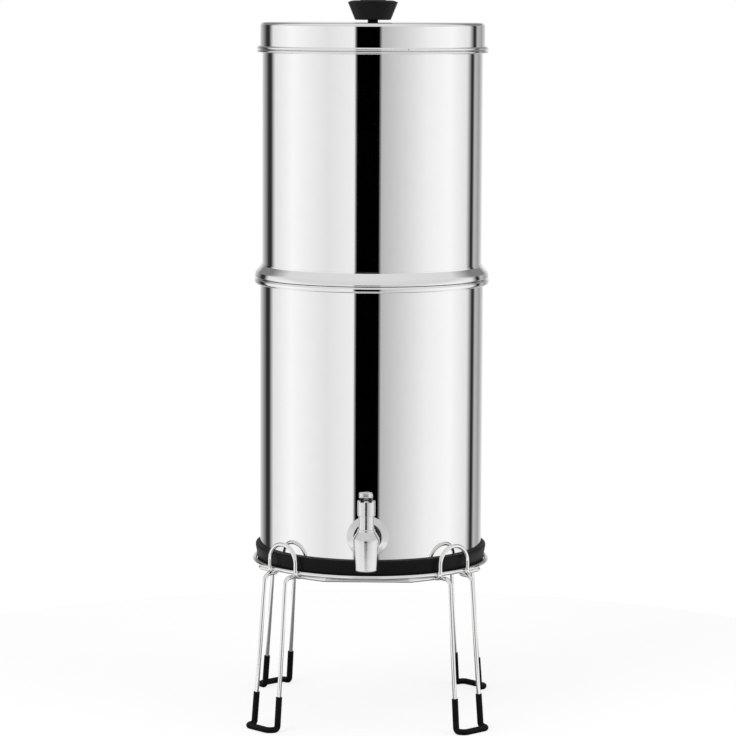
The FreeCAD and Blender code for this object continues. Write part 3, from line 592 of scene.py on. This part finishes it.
    def make_floor(self) -> None:
        """Small round pale floor that melts into the surround and keeps a faint shadow."""
        bpy.ops.mesh.primitive_circle_add(vertices=128, radius=self.floor_radius, fill_type="NGON")
        floor = bpy.context.object
        floor.name = "floor"
        made = bpy.data.materials.new("pale_floor")
        made.use_nodes = True
        nodes = Nodes(made.node_tree)
        shader = made.node_tree.nodes["Principled BSDF"]
        shader.inputs["Roughness"].default_value = 0.9
        shader.inputs["Specular IOR Level"].default_value = 0.0
        paper = nodes.noise(30.0, 2.0)
        nodes.link(nodes.colours(paper, (0.30, 0.30, 0.30), (0.31, 0.31, 0.31)), shader.inputs["Base Color"])
        path = nodes.add("LightPath")
        place = nodes.add("TexCoord")
        away = nodes.add("VectorMath", operation="LENGTH")
        nodes.link(place.outputs["Object"], away.inputs[0])
        under = nodes.add("MapRange")
        for socket, value in zip(under.inputs[1:5], (*self.shaded_floor, self.floor_glow, 0)):
            socket.default_value = value
        nodes.link(away.outputs["Value"], under.inputs["Value"])
        dimmer = nodes.add("Math", operation="MULTIPLY_ADD")
        dimmer.inputs[2].default_value = self.floor_glow
        nodes.link(path.outputs["Is Glossy Ray"], dimmer.inputs[0])
        lost = nodes.add("Math", operation="MULTIPLY")
        lost.inputs[1].default_value = -1
        nodes.link(under.outputs["Result"], lost.inputs[0])
        nodes.link(lost.outputs[0], dimmer.inputs[1])
        glow = nodes.add("Emission", Color=(1, 1, 1, 1))
        nodes.link(dimmer.outputs[0], glow.inputs["Strength"])
        both = nodes.add("AddShader")
        nodes.link(shader.outputs[0], both.inputs[0])
        nodes.link(glow.outputs[0], both.inputs[1])
        seen = nodes.add("Math", operation="MAXIMUM")
        nodes.link(path.outputs["Is Camera Ray"], seen.inputs[0])
        nodes.link(path.outputs["Is Glossy Ray"], seen.inputs[1])
        through = nodes.add("Math", operation="MAXIMUM")
        nodes.link(seen.outputs[0], through.inputs[0])
        nodes.link(path.outputs["Is Transmission Ray"], through.inputs[1])
        pick = nodes.add("MixShader")
        nodes.link(through.outputs[0], pick.inputs[0])
        nodes.link(shader.outputs[0], pick.inputs[1])
        nodes.link(both.outputs[0], pick.inputs[2])
        nodes.link(pick.outputs[0], made.node_tree.nodes["Material Output"].inputs[0])
        floor.data.materials.append(made)

    def make_lamps(self) -> None:
        """Two soft boxes high on either side."""
        for name, place, power, width in (("key_lamp", (-1.6, -1.8, 2.0), 22.0, 1.4),
                                          ("fill_lamp", (1.9, -1.2, 1.6), 12.0, 1.4)):
            lamp = bpy.data.lights.new(name, "AREA")
            lamp.energy = power
            lamp.size = width
            holder = bpy.data.objects.new(name, lamp)
            holder.location = place
            holder.rotation_mode = "QUATERNION"
            holder.rotation_quaternion = (Vector((0, 0, 0.3)) - Vector(place)).to_track_quat("-Z", "Y")
            holder.visible_glossy = False
            bpy.context.scene.collection.objects.link(holder)

    def make_camera(self) -> None:
        """Camera at the photograph's height, side and distance."""
        view = bpy.data.cameras.new("camera")
        view.sensor_width = self.sensor
        view.lens = self.focal_pixels / self.frame_pixels * self.sensor
        view.clip_end = 50
        camera = bpy.data.objects.new("camera", view)
        side = math.radians(self.camera_azimuth)
        camera.location = (self.camera_distance * math.sin(side), -self.camera_distance * math.cos(side),
                           self.camera_height)
        heading = side + math.radians(self.camera_yaw)
        upright = Matrix.Rotation(heading, 4, "Z") @ Matrix.Rotation(math.radians(90 - self.camera_pitch), 4, "X")
        turned = upright @ Matrix.Rotation(math.radians(self.camera_roll), 4, "Z")
        camera.rotation_euler = turned.to_euler()
        bpy.context.scene.collection.objects.link(camera)
        bpy.context.scene.camera = camera


# The filter

@dataclass
class Dresser:
    """Gives CAD nodes and new pieces their finish, body and slot."""

    frame: dict
    materials: dict[Slot, bpy.types.Material]

    def finish_of(self, piece: bpy.types.Object, slot: Slot) -> None:
        """Put one finish on a piece.

        Args:
            piece: the piece.
            slot: the record's slot.
        """
        piece.data.materials.clear()
        piece.data.materials.append(self.materials[slot])

    def dress_nodes(self) -> None:
        """Put each CAD node's finish on it."""
        for row in self.frame["record"]["subparts"]:
            node = self.frame["nodes"][row["node"]]
            self.finish_of(node, Slot(row["material_slot"]))
            # The photograph's tank doesn't mirror the tap
            node.visible_glossy = not row["node"].startswith("tap_")

    def stand_for(self, piece: bpy.types.Object, body: str, slot: Slot, *nodes: str) -> None:
        """Let a new piece take the place of CAD nodes.

        Args:
            piece: the new piece.
            body: the CAD body that it rides on.
            slot: the record's slot.
            *nodes: the CAD nodes that it stands for.
        """
        self.finish_of(piece, slot)
        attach(piece, body)
        if nodes:
            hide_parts(*nodes)
        LOG.info("%s rides on %s", piece.name, body)


def top_of(node: str) -> float:
    """Highest z of a CAD node, in millimetres."""
    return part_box(node)[1].z / MM


def bottom_of(node: str) -> float:
    """Lowest z of a CAD node, in millimetres."""
    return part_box(node)[0].z / MM


def radius_of(node: str) -> float:
    """Largest radius of a node turned about the tanks' axis, in millimetres."""
    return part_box(node)[1].x / MM


@dataclass
class LowerTank:
    """Lower tank with its rolled rim and raised floor. Millimetres."""

    sheet: float = 0.8
    wall_r: float = 107.6
    floor_bend: float = 5.0
    panel_r: float = 84.0
    panel_rise: float = 4.0
    rim_depth: float = 6.0
    rim_bend: float = 2.0
    hole_r: float = 8.1

    def build(self, dresser: Dresser) -> None:
        """Make the tank's shell.

        Args:
            dresser: gives the finish and the body.
        """
        low = bottom_of("lower_chamber") + self.sheet / 2
        high = top_of("lower_chamber") - self.sheet / 2
        rim_r = radius_of("lower_chamber") - self.sheet / 2
        under = high + self.sheet - self.rim_depth
        line = rounded([
            (0, low + self.panel_rise, 0), (self.panel_r, low + self.panel_rise, 3.0),
            (self.panel_r + self.panel_rise, low, 3.0), (self.wall_r, low, self.floor_bend),
            (self.wall_r, high, 0.8), (rim_r, high, self.rim_bend), (rim_r, under, self.rim_bend),
            (self.wall_r + 1.6, under, 0)])
        shell = lathe("lower_tank_shell", thickened(line, self.sheet * MM))
        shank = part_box("tap_nut")
        centre = Vector((0, -self.wall_r * MM, (shank[0].z + shank[1].z) / 2))
        bored(shell, [(centre, Vector((0, -1, 0)), self.hole_r * MM)])
        dresser.stand_for(shell, "lower_tank", Slot.STEEL, "lower_chamber")


@dataclass
class UpperTank:
    """Upper tank with its hemmed rim and the collar that seats it. Millimetres."""

    sheet: float = 0.8
    wall_r: float = 105.6
    floor_bend: float = 4.0
    hem_gap: float = 0.8
    hole_r: float = 6.1
    hole_pitch: float = 50.0
    collar_lip: float = 5.2
    collar_slope: float = 6.2
    lip_lean: float = 1.0

    def build(self, dresser: Dresser) -> None:
        """Make the tank's shell and its collar.

        Args:
            dresser: gives the finish and the body.
        """
        low = bottom_of("upper_chamber") + self.sheet / 2
        high = top_of("upper_chamber") - self.sheet / 2
        hem_r = radius_of("upper_chamber") - self.sheet / 2
        step = self.sheet + self.hem_gap
        line = rounded([
            (0, low, 0), (self.wall_r, low, self.floor_bend), (self.wall_r, high, 0.8), (hem_r, high, step / 2),
            (hem_r, high - step, step / 2), (self.wall_r + 0.9, high - step, 0)])
        shell = lathe("upper_tank_shell", thickened(line, self.sheet * MM))
        places = [(-1, 0), (1, 0), (0, -1), (0, 1)]
        bored(shell, [(Vector((x * self.hole_pitch, y * self.hole_pitch, low)) * MM, Vector((0, 0, 1)),
                       self.hole_r * MM) for x, y in places])
        dresser.stand_for(shell, "upper_tank", Slot.STEEL, "upper_chamber")
        self.build_collar(dresser)

    def build_collar(self, dresser: Dresser) -> None:
        """Make the flared collar.

        Args:
            dresser: gives the finish and the body.
        """
        low = bottom_of("upper_collar") + self.sheet / 2
        outer = radius_of("upper_collar") - self.sheet / 2
        inner = self.wall_r + self.sheet + 0.05
        high = low - self.sheet / 2 + self.collar_lip
        line = rounded([
            (inner, low + 2 * self.sheet, 0), (inner, low, 0.8), (outer, low, 0.8), (outer - self.lip_lean, high, 2.5),
            (inner, high + self.collar_slope, 1.2), (inner, high + self.collar_slope + 2 * self.sheet, 0)])
        collar = lathe("seating_collar", thickened(line, self.sheet * MM))
        dresser.stand_for(collar, "upper_tank", Slot.STEEL, "upper_collar")


@dataclass
class Lid:
    """Spun lid with a rolled bead, and its knob. Millimetres."""

    sheet: float = 0.8
    skirt_r: float = 107.7
    corner: float = 3.0
    bead_depth: float = 3.4
    knob_bottom_r: float = 17.25
    knob_neck: float = 2.4
    knob_wall: float = 3.4
    knob_rim: float = 1.2
    knob_dome: float = 3.0
    boss_r: float = 5.2
    groove: float = 0.25
    seam_azimuth: float = 15.5
    seam: Point3 = (14.5, 2.2, 1.7)

    def build(self, dresser: Dresser) -> None:
        """Make the lid's shell and knob.

        Args:
            dresser: gives the finish and the body.
        """
        top = top_of("lid_shell") - self.sheet / 2
        low = bottom_of("lid_shell") + self.sheet / 2
        bead_r = radius_of("lid_shell") - self.sheet / 2
        high = low + self.bead_depth - self.sheet
        line = rounded([
            (0, top, 0), (self.skirt_r, top, self.corner), (self.skirt_r, low, 0.8), (bead_r, low, (high - low) / 2),
            (bead_r, high, (high - low) / 2), (self.skirt_r + 1.2, high, 0)])
        shell = lathe("spun_lid", thickened(line, self.sheet * MM))
        turn = math.radians(self.seam_azimuth)
        out = bead_r + self.sheet / 2
        bpy.ops.mesh.primitive_cube_add(
            size=1, location=Vector((out * math.sin(turn), -out * math.cos(turn), (low + high) / 2)) * MM,
            rotation=(0, 0, turn), scale=Vector(self.seam) * MM)
        carved(shell)
        dresser.stand_for(shell, "lid", Slot.STEEL, "lid_shell")
        self.build_knob(dresser)

    def build_knob(self, dresser: Dresser) -> None:
        """Make the moulded knob, with its parting groove and the ring on its dome.

        Args:
            dresser: gives the finish and the body.
        """
        foot = bottom_of("lid_knob")
        bottom = foot + self.knob_neck
        top = top_of("lid_knob")
        top_r = radius_of("lid_knob")
        edge = top - self.knob_dome
        roof = edge - self.knob_rim
        line = rounded([
            (0, foot, 0), (self.boss_r, foot, 0.5), (self.boss_r - 0.6, bottom + 2, 0), (self.boss_r - 0.6, roof, 2),
            (self.knob_bottom_r - self.knob_wall, roof, 2), (self.knob_bottom_r - self.knob_wall, bottom, 0.5),
            (self.knob_bottom_r, bottom, 1.6), (top_r, roof, 1.2), (top_r, edge - self.groove, 0),
            (top_r - self.groove, edge - self.groove / 2, 0), (top_r, edge, 0.9),
            (top_r * 0.56, top - 0.5, 12), (top_r * 0.55, top - 0.5 - self.groove, 0), (top_r * 0.53, top - 0.45, 0),
            (top_r * 0.3, top - 0.05, 20), (0, top, 0)], math.radians(6))
        knob = lathe("grip_knob", line, 144)
        dresser.stand_for(knob, "lid", Slot.KNOB, "lid_knob")


@dataclass
class Stand:
    """Weld beads where the stand's wires meet. Millimetres."""

    ring_r: float = 113.0
    leg_across: float = 14.5
    arch_across: float = 18.2
    bead_r: float = 1.7
    flattened: float = 0.7

    def build(self, dresser: Dresser) -> None:
        """Make the beads under the ring and beside the arches.

        Args:
            dresser: gives the finish and the body.
        """
        low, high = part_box("stand_ring")
        middle = (low.z + high.z) / 2
        wire_r = (high.z - low.z) / 2
        work = bmesh.new()
        for corner in (45, 135, 225, 315):
            for side in (-1, 1):
                for across, radius, height in ((self.leg_across, self.ring_r, middle - wire_r),
                                               (self.arch_across, self.ring_r + wire_r / MM, middle)):
                    turn = math.radians(corner) + side * math.asin(across / radius)
                    spot = Matrix.Translation((radius * MM * math.cos(turn), radius * MM * math.sin(turn), height))
                    spread = Matrix.Diagonal((1.25, 1.25, self.flattened, 1))
                    bmesh.ops.create_uvsphere(work, u_segments=20, v_segments=12, radius=self.bead_r * MM,
                                              matrix=spot @ Matrix.Rotation(turn, 4, "Z") @ spread)
        mesh = bpy.data.meshes.new("weld_beads")
        work.to_mesh(mesh)
        work.free()
        dresser.stand_for(finished_mesh("weld_beads", mesh), "stand", Slot.WIRE)


def main() -> None:
    """Load the frame, dress it and set it in the studio."""
    logging.basicConfig(level=logging.INFO, format="%(name)s: %(message)s")
    bpy.context.scene.view_settings.view_transform = "Standard"
    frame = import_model()
    dresser = Dresser(frame, Finishes().materials())
    dresser.dress_nodes()
    for assembly in (Stand(), LowerTank(), UpperTank(), Lid()):
        LOG.info("building %s", type(assembly).__name__)
        assembly.build(dresser)
    Studio().build()


if __name__ == "__main__":
    main()
